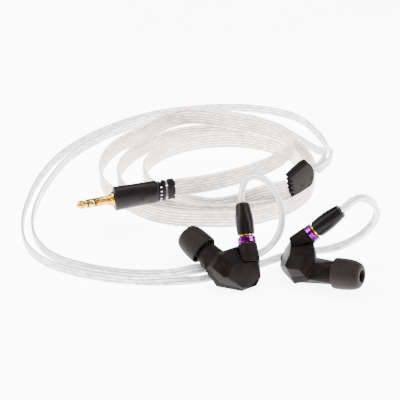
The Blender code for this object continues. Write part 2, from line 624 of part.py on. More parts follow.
def make_comb():
    """The strain relief: two toothed blocks with slots that the cable's cores are laced through."""
    for name, start, end in (("strain_relief_inner", 32.3, 35.2), ("strain_relief_outer", 35.8, 39.0)):
        comb = add_jack_solid(name, oval_prism(COMB_TALL, 4.6, start, end, 20))
        for slot in range(4):
            height = (slot - 1.5) * 1.9
            cut = block((-3.2, height - 0.3, start - 0.2), (-1.5, height + 0.3, start + 1.0))
            boolean(comb, add_jack_solid(f"{name}_slot_{slot}_form", cut), "DIFFERENCE")


def splitter_frame():
    """+X along the cable, +Y up, +Z out of the splitter's front face."""
    across = SPLITTER_AIM.cross(EDGE).normalized()
    up = across.cross(SPLITTER_AIM).normalized()
    turn = Matrix((SPLITTER_AIM, up, across)).transposed().to_4x4()
    return Matrix.Translation(SPLITTER_MIDDLE + LAYOUT_SHIFT) @ turn


def splitter_slab(half_deep):
    """The splitter's outline: toothed where the wide cable enters, bowed where the branches leave."""
    outline = [(-7.1, -3.6), (-6.9, -3.0), (-5.8, -2.3), (-7.1, -1.1), (-5.6, -0.4), (-6.8, 1.0),
               (-5.3, 1.9), (-6.2, 3.0), (-4.8, 3.7), (-6.0, 5.0), (-3.9, 6.0), (-0.9, 7.0), (1.9, 7.7),
               (3.3, 7.3), (4.2, 5.8), (4.5, 3.6), (4.2, 1.3), (3.2, -1.2), (1.6, -2.8), (-2.4, -3.5)]
    bm = bmesh.new()
    face = bm.faces.new([bm.verts.new((x, y, -half_deep)) for x, y in outline])
    raised = bmesh.ops.extrude_face_region(bm, geom=[face])
    lifted = [item for item in raised["geom"] if isinstance(item, bmesh.types.BMVert)]
    bmesh.ops.translate(bm, vec=(0, 0, 2 * half_deep), verts=lifted)
    return bm


def add_splitter_solid(name, bm, material=None):
    bmesh.ops.transform(bm, matrix=splitter_frame(), verts=bm.verts)
    return add_mesh_object(name, bm, material or black_plastic())


def make_splitter():
    """Two clamped halves with the cores between them, held by two screws."""
    for name, depth in (("splitter_front", 1.15), ("splitter_back", -1.15)):
        slab = splitter_slab(1.0)
        bmesh.ops.translate(slab, vec=(0, 0, depth), verts=slab.verts)
        half = add_splitter_solid(name, slab)
        if name == "splitter_front":
            for number, (x, y) in enumerate(((2.7, 0.5), (-1.9, -0.6))):
                hole = turned(((0, 0), (0.75, 0), (0.75, 5), (0, 5)), 12, Vector((x, y, 1.2)))
                boolean(half, add_splitter_solid(f"screw_hole_{number}_form", hole), "DIFFERENCE")
    for number, (x, y) in enumerate(((2.7, 0.5), (-1.9, -0.6))):
        screw = turned(((0, 0), (0.6, 0), (0.6, 0.6), (0, 0.6)), 12, Vector((x, y, 1.35)))
        add_splitter_solid(f"splitter_screw_{number + 1}", screw, steel())


# ---------------------------------------------------------------------------------------------------


def earpiece_matrix(place, turn, mirror):
    """Earpiece frame to layout millimetres."""
    turned_by = Euler([math.radians(angle) for angle in turn]).to_matrix().to_4x4()
    return Matrix.Translation(place) @ turned_by @ Matrix.Diagonal((mirror, 1, 1, 1))


def main():
    clear_scene()
    frames = []
    for side, place, turn, mirror in (("left", LEFT_PLACE, LEFT_TURN, 1),
                                      ("right", RIGHT_PLACE, RIGHT_TURN, -1)):
        frame = bpy.data.objects.new(f"{side}_frame", None)
        bpy.context.scene.collection.objects.link(frame)
        frame.location = (place + LAYOUT_SHIFT) * MM
        frame.rotation_euler = Euler([math.radians(a) for a in turn])
        frame.scale = (mirror, 1, 1)
        frames.append(earpiece_matrix(place, turn, mirror))
        make_shell(side, frame)
        make_faceplate(side, frame)
        make_nozzle(side, frame)
        make_nozzle_mesh(side, frame)
        make_ear_tip(side, frame)
        make_drivers(side, frame)
        make_sound_tube(side, frame)
        make_socket(side, frame)
        make_plug_half(side, frame)
        make_snap_ring(side, frame)
    make_jack()
    make_housing()
    make_comb()
    make_splitter()
    make_cables(*frames)


main()
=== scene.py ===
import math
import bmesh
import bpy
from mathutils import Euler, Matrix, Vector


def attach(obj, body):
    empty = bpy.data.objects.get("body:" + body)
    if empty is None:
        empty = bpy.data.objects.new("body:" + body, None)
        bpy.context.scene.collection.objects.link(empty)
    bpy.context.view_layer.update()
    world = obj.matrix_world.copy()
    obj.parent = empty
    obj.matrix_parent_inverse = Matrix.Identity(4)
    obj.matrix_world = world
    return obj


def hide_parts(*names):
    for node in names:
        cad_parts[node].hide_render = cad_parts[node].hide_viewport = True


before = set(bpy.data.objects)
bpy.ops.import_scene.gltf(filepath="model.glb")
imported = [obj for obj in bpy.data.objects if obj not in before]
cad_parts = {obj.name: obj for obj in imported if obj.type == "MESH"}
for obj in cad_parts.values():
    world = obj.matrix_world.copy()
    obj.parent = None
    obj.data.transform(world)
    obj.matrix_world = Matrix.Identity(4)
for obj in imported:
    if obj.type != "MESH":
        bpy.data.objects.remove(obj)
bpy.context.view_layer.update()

# %% [markdown]
# # A pair of in ear monitors on their coiled cable
# The engineering model is already loaded as a frame of closed solids that move with their joints.
# This lesson dresses it: each cell makes one piece or one finish, and prints what it made.
# All places are in metres, in the frame's own axes, with the table at height zero.

MM = 0.001

# %% [markdown]
# ## Seeing the set
# A camera is a place, an aim and a lens. The set is looked down on at 33 degrees from its front,
# from nearly half a metre, which is how one looks at something small on a desk.

# %% Camera
LAYOUT = Vector((-25.46, 50.56, 0.0))
eye = bpy.data.objects.new("camera", bpy.data.cameras.new("camera"))
bpy.context.scene.collection.objects.link(eye)
eye.location = (LAYOUT + Vector((0, -377.4, 245.1))) * MM
eye.rotation_euler = (math.radians(57), 0, 0)
eye.data.lens = 100.08
eye.data.sensor_width = 36
eye.data.clip_start = 0.01
bpy.context.scene.camera = eye
print("camera", tuple(round(value, 4) for value in eye.location))

# %% [markdown]
# ## Writing a shader as arithmetic
# A pattern is a sum over coordinates: stripes are a sine, a core is a folded distance. Wiring that by
# hand takes dozens of Math nodes, so a small class wraps a socket and each operator adds its node.

# %% A socket that does arithmetic


class Number:
    """A shader value: the usual operators add Math nodes behind it."""

    def __init__(self, paint, socket):
        self.paint = paint
        self.socket = socket

    def made(self, operation, *values):
        return self.paint.number("ShaderNodeMath", {"operation": operation}, *values)

    def __add__(self, other):
        return self.made("ADD", self, other)

    def __radd__(self, other):
        return self.made("ADD", other, self)

    def __sub__(self, other):
        return self.made("SUBTRACT", self, other)

    def __rsub__(self, other):
        return self.made("SUBTRACT", other, self)

    def __mul__(self, other):
        return self.made("MULTIPLY", self, other)

    def __rmul__(self, other):
        return self.made("MULTIPLY", other, self)

    def size(self):
        return self.made("ABSOLUTE", self)

    def wave(self):
        return self.made("SINE", self)

    def round_off(self):
        return self.made("ROUND", self)

    def ramp(self, low, high):
        """0 below low and 1 above high, with a soft turn between; high may be the smaller."""
        settings = {"interpolation_type": "SMOOTHSTEP"}
        return self.paint.number("ShaderNodeMapRange", settings, self, low, high, 0.0, 1.0)


# %% [markdown]
# ## One way to add any other node
# `Paint` makes a material and adds nodes: settings first, because they decide which sockets exist,
# then a value or a link for each socket in order. Constants stay on the shader's own sockets.

# %% A material under construction


class Paint:
    def __init__(self, name, **constants):
        self.material = bpy.data.materials.new(name)
        self.material.use_nodes = True
        self.nodes = self.material.node_tree.nodes
        self.links = self.material.node_tree.links
        self.shader = self.nodes["Principled BSDF"]
        for socket, value in constants.items():
            self.shader.inputs[socket.replace("_", " ")].default_value = value

    def node(self, kind, settings, *values):
        node = self.nodes.new(kind)
        for key, value in settings.items():
            setattr(node, key, value)
        sockets = [socket for socket in node.inputs if socket.enabled]
        for socket, value in zip(sockets, values):
            self.feed(socket, value)
        return node

    def feed(self, socket, value):
        value = value.socket if isinstance(value, Number) else value
        if isinstance(value, bpy.types.NodeSocket):
            self.links.new(value, socket)
        elif value is not None:
            socket.default_value = value

    def number(self, kind, settings, *values):
        return Number(self, self.node(kind, settings, *values).outputs[0])

    def place(self):
        """Object coordinates, in millimetres."""
        spot = self.node("ShaderNodeTexCoord", {}).outputs["Object"]
        scale = (1 / MM, 1 / MM, 1 / MM)
        return self.node("ShaderNodeVectorMath", {"operation": "MULTIPLY"}, spot, scale).outputs[0]

    def noise(self, scale, where, detail=2.0):
        return self.number("ShaderNodeTexNoise", {"noise_dimensions": "3D"}, where, scale, detail)

    def colour(self, share, low, high):
        """From the low colour to the high one as share goes from 0 to 1."""
        mix = self.node("ShaderNodeMix", {"data_type": "RGBA"}, share, (*tint(low), 1), (*tint(high), 1))
        return mix.outputs[2]

    def over(self, share, low, high):
        """The same for colours that are already links."""
        return self.node("ShaderNodeMix", {"data_type": "RGBA"}, share, low, high).outputs[2]

    def relief(self, height, depth):
        """Bumps of that depth in metres."""
        bump = self.node("ShaderNodeBump", {}, 1.0, depth)
        self.feed(bump.inputs["Height"], height)
        self.links.new(bump.outputs[0], self.shader.inputs["Normal"])

    def finish(self, **varying):
        for socket, value in varying.items():
            self.feed(self.shader.inputs[socket.replace("_", " ")], value)
        return self.material


def tint(code):
    """A colour given as a hex code, as the shader's linear red, green and blue."""
    parts = [int(code[spot:spot + 2], 16) / 255 for spot in (0, 2, 4)]
    return tuple(part / 12.92 if part <= 0.04045 else ((part + 0.055) / 1.055) ** 2.4 for part in parts)


print("shader tools ready")

# %% [markdown]
# ## Satin black finishes
# The shells are machined and anodised, so their black is a warm brown-black with a very fine tooth
# that softens every reflection. Handling leaves faint cloudy patches, which vary the colour and the
# roughness a little. The barrels are glossier than the shells. The small screws sit in shadow, so
# they are painted near-black as painted shade, the darkest black here.

# %% Satin blacks


def satin_black(name, dark, light, rough, grain, shine=0.09):
    paint = Paint(name, Specular_IOR_Level=shine)
    where = paint.place()
    cloud = paint.noise(0.22, where, 3.0)
    tooth = paint.noise(9.0, where, 2.0)
    paint.relief(tooth, grain * MM)
    return paint.finish(Base_Color=paint.colour(cloud.ramp(0.3, 0.7), dark, light),
                        Roughness=rough + cloud * 0.12 + tooth * 0.06)


shell_black = satin_black("shell_black", "080505", "110b0b", 0.42, 0.008, 0.045)
neck_black = satin_black("neck_black", "090707", "120e0d", 0.44, 0.008, 0.05)
barrel_black = satin_black("barrel_black", "050303", "0a0606", 0.24, 0.004)
plug_black = satin_black("plug_black", "060303", "0c0808", 0.3, 0.006)
splitter_black = satin_black("splitter_black", "0d0909", "150f0f", 0.42, 0.012)
# Painted shade: near-black for the small screws that sit in shadow in their recesses.
painted_shade_black = satin_black("painted_shade_black", "010101", "030303", 0.7, 0.002, 0.01)
print("six satin blacks")

# %% [markdown]
# ## Silicone
# Ear tips are moulded silicone: no shine, a trace of powdery sheen where they curve away, and
# lint-fine speckles. Sheen does the powder, coarse noise the mottling, and fine noise the speckles.

# %% Silicone
paint = Paint("silicone", Sheen_Weight=0.02, Sheen_Roughness=0.45, Specular_IOR_Level=0.1)
where = paint.place()
powder = paint.noise(3.0, where, 4.0)
speck = paint.noise(26.0, where, 1.0)
paint.relief(speck, 0.012 * MM)
silicone = paint.finish(Base_Color=paint.colour(powder.ramp(0.35, 0.65), "0e0a0a", "181111"),
                        Roughness=0.56 + powder * 0.2)
print("silicone")

# %% [markdown]
# ## Gold, anodised violet and steel
# Plated and polished metal is never even: its colour drifts in slow patches, and fine marks from
# working break up each reflection. The socket's collar is aluminium dyed violet under a clear oxide,
# so it is metallic with a thin coat.

# %% Metals


def turned_metal(name, dark, light, rough, coat=0.0):
    paint = Paint(name, Metallic=1.0, Coat_Weight=coat, Coat_Roughness=0.08)
    where = paint.place()
    patch = paint.noise(0.6, where, 2.0)
    brush = paint.noise(6.0, where, 3.0)
    paint.relief(brush, 0.004 * MM)
    return paint.finish(Base_Color=paint.colour(patch.ramp(0.3, 0.7), dark, light),
                        Roughness=rough + brush * 0.14)


gold = turned_metal("gold_plating", "8a6118", "dba942", 0.14)
violet = turned_metal("violet_anodised", "220030", "74047f", 0.12, 0.12)
bright_steel = turned_metal("bright_steel", "9a9a9e", "c6c6ca", 0.24)
print("three metals")

# %% [markdown]
# ## Small mouldings inside
# Insulators, the crossover board, the sound tube and the damper sit behind other pieces, but they
# show when a set is taken apart, so each has its own mottled finish.

# %% Mouldings


def moulding(name, dark, light, rough):
    paint = Paint(name)
    where = paint.place()
    mottle = paint.noise(1.4, where, 3.0)
    grain = paint.noise(14.0, where, 1.0)
    paint.relief(grain, 0.006 * MM)
    return paint.finish(Base_Color=paint.colour(mottle.ramp(0.3, 0.7), dark, light),
                        Roughness=rough + grain * 0.15)


insulator_black = moulding("insulator_black", "0b0b0c", "151516", 0.35)
insulator_white = moulding("insulator_white", "cfcbc2", "e3dfd6", 0.4)
board_green = moulding("board_green", "0f4a2b", "1c6a40", 0.45)
tube_clear = moulding("tube_clear", "c9cac8", "e4e5e3", 0.2)
damper_red = moulding("damper_red", "6f1a14", "93281e", 0.6)
print("five mouldings")

# %% [markdown]
# ## The cable's finish
# The cable is a flat ribbon of clear sleeves, each over a twisted bundle of fine silver strands.
# Every ring of the mesh carries an attribute: x counts cores across, with a whole number in the
# middle of each core, and y is millimetres along. Folding x gives the distance from a core's middle,
# and a slanted sine along y gives the twist. The creases between cores are darkened with painted
# shade. The edges of the wide cable are clear, and those of a branch get a little painted shade,
# because its sleeve turns away there.

# %% Clear sleeves over silver strands


WIDE_CORES = 6
BRANCH_CORES = 3


def core_shift(cores):
    """What makes the core counts whole: half a core where the cable has an even number of them."""
    return 0.5 if cores % 2 == 0 else 0.0


def cable_finish(name, cores, rim, sleeve_low, sleeve_high, silver_low, silver_high, crease_shade_colour, strength):
    paint = Paint(name, Coat_Weight=0.3, Coat_Roughness=0.12, Specular_IOR_Level=0.4)
    lay = paint.node("ShaderNodeAttribute", {"attribute_name": "lay"}).outputs["Vector"]
    parts = paint.node("ShaderNodeSeparateXYZ", {}, lay)
    across = Number(paint, parts.outputs["X"])
    along = Number(paint, parts.outputs["Y"])
    core = across.round_off()
    offset = across - core
    from_middle = offset.size() * 2.0
    twist = (along * 1.9 + core * 2.4 + offset * 3.0).wave() * 0.5 + 0.5
    spot = paint.node("ShaderNodeCombineXYZ", {}, core * 7.3, along * 0.55, 0.0).outputs[0]
    dashes = paint.noise(0.5, spot, 2.0).ramp(0.4, 0.6)
    slow = paint.noise(0.05, lay, 2.0).ramp(0.35, 0.65)
    bundle = from_middle.ramp(0.85, 0.2)
    within = (across - core_shift(cores)).size().ramp(cores / 2 - 0.1, cores / 2 - 0.4)
    # Painted shade: the creases between cores are darkened, and at the outer edges only the rim share of
    # that shade is laid, where a branch's sleeve turns away.
    crease_shade = from_middle.ramp(0.62, 1.0) * (within * (1 - rim) + rim)
    silver = paint.colour(twist * 0.3 + dashes * 0.7, silver_low, silver_high)
    sleeve = paint.colour(slow, sleeve_low, sleeve_high)
    cored = paint.over(bundle * strength, sleeve, silver)
    # The painted crease shade is laid over the cored colour here.
    crease_shaded = paint.over(crease_shade * 0.92, cored, (*tint(crease_shade_colour), 1))
    paint.relief(twist * bundle * 0.4 - from_middle * 0.3, 0.04 * MM)
    return paint.finish(Base_Color=crease_shaded, Roughness=0.34 - bundle * 0.1 + dashes * 0.1)


# The colour before the strength is each cable's painted shade for the creases between cores; 0.0 and 0.6
# are the shares of it at the outer edges.
ribbon_clear = cable_finish("ribbon_clear", WIDE_CORES, 0.0, "ece1da", "faf4f0", "9f9289", "fcf8f5",
                            "3f2f25", 0.8)
branch_clear = cable_finish("branch_clear", BRANCH_CORES, 0.6, "f1efed", "fdfdfd", "8f8b88", "fbfbfb",
                            "453f3b", 0.85)
print("two cable finishes")

# %% [markdown]
# ## Where the cable lies
# The set is packed as sold: three loose turns of the wide cable standing on edge, the plug end riding
# over them at the right, and the two branches swept round the back and left to the earpieces. These
# are the cable's middle points in millimetres from the coil's middle, with the way it is wide.

# %% Places of the plug, the splitter and the earpieces
ON_EDGE = 4.2
SLIM_EDGE = 2.2
LYING = 0.85
CROSSING = 12.9
JACK_END = Vector((-46.9, -24.9, 13.6))
JACK_AIM = Vector((0.947, 0.32, 0.0)).normalized()
SPLITTER_MIDDLE = Vector((40.5, -8.0, 14.7))
SPLITTER_AIM = Vector((0.88, 0.36, 0.31)).normalized()
EDGE = Vector((0, 0, 1))
LEFT_HOOK = Vector((-0.11, 0.98, -0.18))
RIGHT_HOOK = Vector((-0.30, 0.90, 0.32))
FLAT = Vector((-0.33, 0.94, 0.0))
BARREL_TOP = 13.6


def earpiece_frame(place, turn, mirror):
    """Origin in the connector's collar, +Z up the connector, -Y out of the faceplate."""
    turned_by = Euler([math.radians(angle) for angle in turn]).to_matrix().to_4x4()
    spot = Matrix.Translation((Vector(place) + LAYOUT) * MM)
    return spot @ turned_by @ Matrix.Diagonal((mirror, 1, 1, 1)) @ Matrix.Scale(MM, 4)


frames = {"left": earpiece_frame((16.9, -48.9, 14.46), (-45.0, 0.6, 9.6), 1),
          "right": earpiece_frame((41.0, -44.1, 14.5), (-46.4, 5.3, -81.7), -1)}
print("earpieces at", [tuple(round(v, 4) for v in each.translation) for each in frames.values()])

# %% The cable's routes
PLUG_END = ((-2.6, -9.6, 13.1), (3.4, -7.0, 12.6), (9.8, -3.2, 11.8), (16.0, 0.9, 11.2),
            (21.2, 4.4, 10.9), (25.9, 7.6, 11.0), (30.2, 10.8, 11.4), (34.2, 14.4, 12.1),
            (37.2, 18.6, 12.8), (38.4, 23.2, CROSSING), (37.2, 27.8, CROSSING),
            (33.6, 31.8, CROSSING), (28.8, 35.4, CROSSING), (23.2, 38.6, CROSSING),
            (17.0, 41.2, CROSSING), (10.0, 43.8, CROSSING), (2.0, 46.6, CROSSING),
            (-6.0, 49.0, 11.8), (-14.0, 49.4, 9.2), (-22.0, 46.8, 6.2), (-29.4, 42.0, 4.6))
COIL = ((-35.8, 35.4), (-40.2, 25.0), (-41.0, 12.5),
        (-37.3, 1.0), (-28.0, -9.0), (-18.5, -16.0), (-8.0, -19.5), (4.0, -20.0), (16.0, -19.5),
        (28.0, -15.5), (38.0, -8.0), (44.6, 1.5), (47.2, 13.5), (45.6, 25.5), (39.6, 36.0),
        (30.0, 43.0), (18.0, 47.0), (4.0, 48.0), (-9.5, 45.0), (-22.0, 37.0), (-30.2, 26.0),
        (-33.6, 13.0), (-30.4, 0.5), (-21.6, -8.5), (-9.6, -13.5), (4.0, -15.5), (17.0, -14.5),
        (28.6, -11.0), (37.2, -3.0), (42.2, 8.5), (42.6, 19.5), (38.8, 29.0), (31.6, 36.0),
        (21.5, 40.5), (9.0, 41.5), (-4.0, 38.5), (-15.0, 31.5), (-21.6, 22.0), (-22.8, 12.0),
        (-18.0, 1.5), (-8.6, -6.0))
SPLITTER_END = ((2.0, -10.6, 4.3), (10.0, -11.2, 5.0), (17.5, -11.4, 7.4), (24.0, -11.6, 10.2))
RIGHT_BRANCH = (((51.0, 0.0, 18.6), EDGE), ((53.0, 7.4, 16.8), EDGE), ((54.2, 16.0, 12.6), EDGE),
                ((54.8, 25.5, 7.6), EDGE), ((54.6, 36.0, 3.4), EDGE), ((52.2, 49.0, SLIM_EDGE), EDGE),
                ((44.0, 64.6, SLIM_EDGE), EDGE), ((27.0, 73.0, SLIM_EDGE), EDGE),
                ((4.0, 74.0, SLIM_EDGE), EDGE), ((-22.0, 67.4, SLIM_EDGE), EDGE),
                ((-43.0, 52.6, SLIM_EDGE), EDGE), ((-58.0, 34.4, SLIM_EDGE), EDGE),
                ((-66.0, 14.0, SLIM_EDGE), EDGE), ((-69.0, -7.0, SLIM_EDGE), EDGE),
                ((-68.6, -23.0, SLIM_EDGE), EDGE), ((-64.6, -36.4, SLIM_EDGE), EDGE),
                ((-55.4, -46.6, SLIM_EDGE), EDGE), ((-41.0, -53.2, SLIM_EDGE), EDGE),
                ((-25.0, -56.6, SLIM_EDGE), EDGE), ((-11.0, -56.6, 2.1), (EDGE + FLAT) / 2),
                ((0.0, -54.2, LYING), FLAT), ((8.0, -51.2, LYING), FLAT),
                ((16.0, -48.0, LYING), FLAT), ((24.0, -44.0, LYING), FLAT),
                ((32.0, -39.6, LYING), FLAT), ((39.5, -37.1, LYING), FLAT),
                ((46.5, -36.0, 1.0), FLAT), ((52.4, -35.1, 2.0), (FLAT + RIGHT_HOOK) / 2),
                ((58.0, -34.3, 4.6), RIGHT_HOOK), ((62.2, -34.2, 8.4), RIGHT_HOOK),
                ((64.6, -35.0, 12.8), RIGHT_HOOK), ((65.2, -36.4, 17.6), RIGHT_HOOK),
                ((64.0, -38.4, 22.2), RIGHT_HOOK), ((61.2, -40.8, 26.3), RIGHT_HOOK),
                ((58.0, -42.4, 28.4), RIGHT_HOOK), ((55.2, -43.3, 28.1), RIGHT_HOOK))
LEFT_BRANCH = (((48.9, 0.6, 18.8), EDGE), ((50.4, 7.6, 17.0), EDGE), ((51.2, 15.6, 12.8), EDGE),
               ((50.8, 26.0, 7.6), EDGE), ((48.0, 36.6, 3.4), EDGE),
               ((42.2, 47.0, SLIM_EDGE), EDGE), ((34.2, 56.6, SLIM_EDGE), EDGE),
               ((22.0, 64.6, SLIM_EDGE), EDGE), ((4.0, 68.2, SLIM_EDGE), EDGE),
               ((-21.0, 62.8, SLIM_EDGE), EDGE), ((-41.0, 48.6, SLIM_EDGE), EDGE),
               ((-54.6, 31.4, SLIM_EDGE), EDGE), ((-62.0, 11.0, SLIM_EDGE), EDGE),
               ((-65.2, -7.0, SLIM_EDGE), EDGE), ((-64.8, -22.0, SLIM_EDGE), EDGE),
               ((-61.0, -33.6, SLIM_EDGE), EDGE), ((-53.0, -43.0, SLIM_EDGE), EDGE),
               ((-40.0, -49.2, SLIM_EDGE), EDGE), ((-25.0, -52.6, SLIM_EDGE), EDGE),
               ((-11.0, -52.4, SLIM_EDGE), EDGE), ((-2.0, -49.8, 2.1), (EDGE + FLAT) / 2),
               ((5.8, -46.6, LYING), FLAT), ((13.2, -43.4, LYING), FLAT),
               ((20.0, -40.4, 1.2), FLAT), ((25.4, -38.2, 3.4), (LEFT_HOOK + FLAT) / 2),
               ((29.0, -36.8, 7.8), LEFT_HOOK), ((30.4, -35.8, 13.5), LEFT_HOOK),
               ((29.9, -34.9, 20.0), LEFT_HOOK), ((27.4, -34.2, 26.2), LEFT_HOOK),
               ((23.8, -33.8, 30.6), LEFT_HOOK), ((19.6, -33.6, 32.2), LEFT_HOOK),
               ((16.4, -34.6, 30.8), LEFT_HOOK))
print(len(PLUG_END) + len(COIL) + len(SPLITTER_END), "points on the wide cable")

# %% [markdown]
# ## From a few points to a smooth cable
# A cable bends in one continuous curve, never in corners. A Catmull-Rom curve passes through every
# point given, so the route stays readable while the ribbon gets a ring each millimetre.

# %% Smooth curves


def through(points, spacing):
    """Points at an even spacing on the smooth curve through the given ones."""
    ends = [2 * points[0] - points[1]] + list(points) + [2 * points[-1] - points[-2]]
    fine = []
    for before, here, after, beyond in zip(ends, ends[1:], ends[2:], ends[3:]):
        for step in range(24):
            t = step / 24
            fine.append(0.5 * (2 * here + (after - before) * t
                               + (2 * before - 5 * here + 4 * after - beyond) * t * t
                               + (3 * here - before - 3 * after + beyond) * t ** 3))
    fine.append(points[-1].copy())
    lengths = [0.0]
    for here, after in zip(fine, fine[1:]):
        lengths.append(lengths[-1] + (after - here).length)
    count = round(lengths[-1] / spacing)
    even = []
    place = 0
    for number in range(count + 1):
        want = lengths[-1] * number / count
        while place < len(fine) - 2 and lengths[place + 1] < want:
            place += 1
        share = (want - lengths[place]) / (lengths[place + 1] - lengths[place])
        even.append(fine[place].lerp(fine[place + 1], share))
    return even


def alike(points, values, count):
    """The values given at the points, read at count even distances along the route."""
    steps = [0.0]
    for here, after in zip(points, points[1:]):
        steps.append(steps[-1] + (after - here).length)
    read = []
    place = 0
    for number in range(count):
        want = steps[-1] * number / (count - 1)
        while place < len(points) - 2 and steps[place + 1] < want:
            place += 1
        share = min(1.0, (want - steps[place]) / (steps[place + 1] - steps[place]))
        low, high = values[place], values[place + 1]
        read.append(low + (high - low) * share)
    return read


print("curve tools ready")

# %% [markdown]
# ## Sweeping the ribbon
# The cross-section is a row of round sleeves pressed together, so its outline is a row of scallops.
# Each ring is that outline set square to the route; neighbouring rings are joined, and the ends
# are closed. The width can change along the way, because the sleeves bunch together in the ear hooks.

# %% A ribbon of sleeves


def scallops(cores, arc=6):
    """Outline of a row of cores, as (cores across, thickness share) pairs."""
    outline = []
    for side in (1, -1):
        for number in range(cores):
            core = (cores - 1) / 2 - number if side > 0 else number - (cores - 1) / 2
            for step in range(arc):
                angle = math.pi * (step + 0.5) / arc
                outline.append((core + 0.5 * math.cos(angle) * side, side * math.sin(angle)))
    return outline


def ribbon(name, route, cores, widths, thicks, finish, spacing):
    spots = [Vector(spot) + LAYOUT for spot, across in route]
    middles = through(spots, spacing)
    count = len(middles)
    leans = alike(spots, [across for spot, across in route], count)
    wide = alike(spots, widths, count)
    thick = alike(spots, thicks, count)
    outline = scallops(cores)
    bm = bmesh.new()
    lay = bm.verts.layers.float_vector.new("lay")
    rings = []
    travelled = 0.0
    for number, middle in enumerate(middles):
        ahead = (middles[min(number + 1, count - 1)] - middles[max(number - 1, 0)]).normalized()
        across = (leans[number] - ahead * leans[number].dot(ahead)).normalized()
        out = ahead.cross(across)
        ring = []
        for a, t in outline:
            spot = middle + across * (a * wide[number] / cores) + out * (t * thick[number] / 2)
            vert = bm.verts.new(spot * MM)
            vert[lay] = (a + core_shift(cores), travelled, t)
            ring.append(vert)
        rings.append(ring)
        travelled += (middles[min(number + 1, count - 1)] - middle).length
    for here, after in zip(rings, rings[1:]):
        for side in range(len(outline)):
            beside = (side + 1) % len(outline)
            bm.faces.new((here[side], here[beside], after[beside], after[side]))
    bm.faces.new(rings[0])
    bm.faces.new(rings[-1])
    piece = finished(name, bm, finish)
    return piece, [middle * MM for middle in middles], travelled * MM


def finished(name, bm, finish, sharp=40):
    """Turn the bmesh into an object at the origin: faces outwards, smooth except at sharp corners."""
    bmesh.ops.recalc_face_normals(bm, faces=bm.faces)
    for face in bm.faces:
        face.smooth = True
    for edge in bm.edges:
        if len(edge.link_faces) == 2 and edge.calc_face_angle() > math.radians(sharp):
            edge.smooth = False
    mesh = bpy.data.meshes.new(name)
    bm.to_mesh(mesh)
    bm.free()
    mesh.materials.append(finish)
    piece = bpy.data.objects.new(name, mesh)
    bpy.context.scene.collection.objects.link(piece)
    return piece


print("a ring has", len(scallops(WIDE_CORES)), "corners")

# %% [markdown]
# ## The wide cable
# Six cores side by side make 8 mm. The cable leaves the plug's comb, sags, climbs over the turns
# at the right, goes round the coil three times and ends in the splitter's teeth.

# %% Wide cable
COMB_END = 39.4  # from the plug's tip to where the cable leaves the comb
TEETH = 7.5  # from the splitter's middle back to its teeth
STRAIGHT = 2.5  # the cable runs straight for this far at both ends
coil = [(x, y, ON_EDGE) for x, y in COIL]
plug_face = JACK_END + JACK_AIM * COMB_END
split_face = SPLITTER_MIDDLE - SPLITTER_AIM * TEETH + EDGE * 0.8
wide_route = [plug_face, plug_face + JACK_AIM * STRAIGHT] + list(PLUG_END) + coil
wide_route += list(SPLITTER_END) + [split_face - SPLITTER_AIM * STRAIGHT, split_face]
wide_route = [(spot, EDGE) for spot in wide_route]
count = len(wide_route)
main_ribbon, main_path, main_length = ribbon("main_ribbon", wide_route, WIDE_CORES, [7.9] * count,
                                             [1.15] * count, ribbon_clear, 1.0)
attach(main_ribbon, "cable_assembly")
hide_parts("main_cable")
print("wide cable", round(main_length, 3), "m,", len(main_ribbon.data.polygons), "faces")

# %% [markdown]
# ## The two branches
# Past the splitter three cores go to each ear. They lie on edge round the back, turn flat under
# the earpieces, and stand up in an ear hook, where a clear sleeve gathers them to 2.7 by 2.2 mm.

# %% Branch cables
aside = Vector((-SPLITTER_AIM.y, SPLITTER_AIM.x, 0)).normalized()
branch_face = SPLITTER_MIDDLE + SPLITTER_AIM * 5.1 + EDGE * 2.0
for side, branch, hook, shift in (("left", LEFT_BRANCH, LEFT_HOOK, 0.9),
                                  ("right", RIGHT_BRANCH, RIGHT_HOOK, -0.9)):
    start = branch_face + aside * shift
    up_barrel = frames[side] @ Vector((0, 0, BARREL_TOP + 3.0)) / MM - LAYOUT
    in_barrel = frames[side] @ Vector((0, 0, BARREL_TOP + 0.3)) / MM - LAYOUT
    route = [(start, EDGE), (start + SPLITTER_AIM * 2.0, EDGE)] + list(branch)
    route += [(up_barrel, hook), (in_barrel, hook)]
    hooked = [across is hook for spot, across in route]
    widths = [2.7 if there else 3.9 for there in hooked]
    thicks = [2.2 if there else 1.15 for there in hooked]
    piece, path, length = ribbon(f"{side}_branch", route, BRANCH_CORES, widths, thicks, branch_clear, 0.9)
    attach(piece, "cable_assembly")
    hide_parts(f"{side}_branch_cable")
    print(side, "branch", round(length, 3), "m")

# %% [markdown]
# ## Turning round pieces
# Most small metal and plastic pieces are turned, so they are made like pottery: draw half of the
# section, then spin it once round its axis. `use_merge` closes the seam, and the frame matrix puts
# the piece in place. A curve through the section's points makes the soft, moulded shapes.

# %% A piece from the lathe


def lathe(profile, frame_at, steps=64):
    """Spin (radius, height) points, in millimetres, round the frame's +Z axis."""
    bm = bmesh.new()
    points = [bm.verts.new((radius, 0, height)) for radius, height in profile]
    edges = [bm.edges.new(pair) for pair in zip(points, points[1:])]
    if profile[0][0] > 0:
        edges.append(bm.edges.new((points[-1], points[0])))
    bmesh.ops.spin(bm, geom=points + edges, cent=(0, 0, 0), axis=(0, 0, 1), angle=math.tau,
                   steps=steps, use_merge=True)
    bmesh.ops.remove_doubles(bm, verts=bm.verts, dist=1e-4)
    bmesh.ops.transform(bm, matrix=frame_at, verts=bm.verts)
    return bm


def soft(profile, spacing=0.25):
    """The same section drawn as one smooth curve."""
    return [(spot.x, spot.y) for spot in through([Vector(point) for point in profile], spacing)]


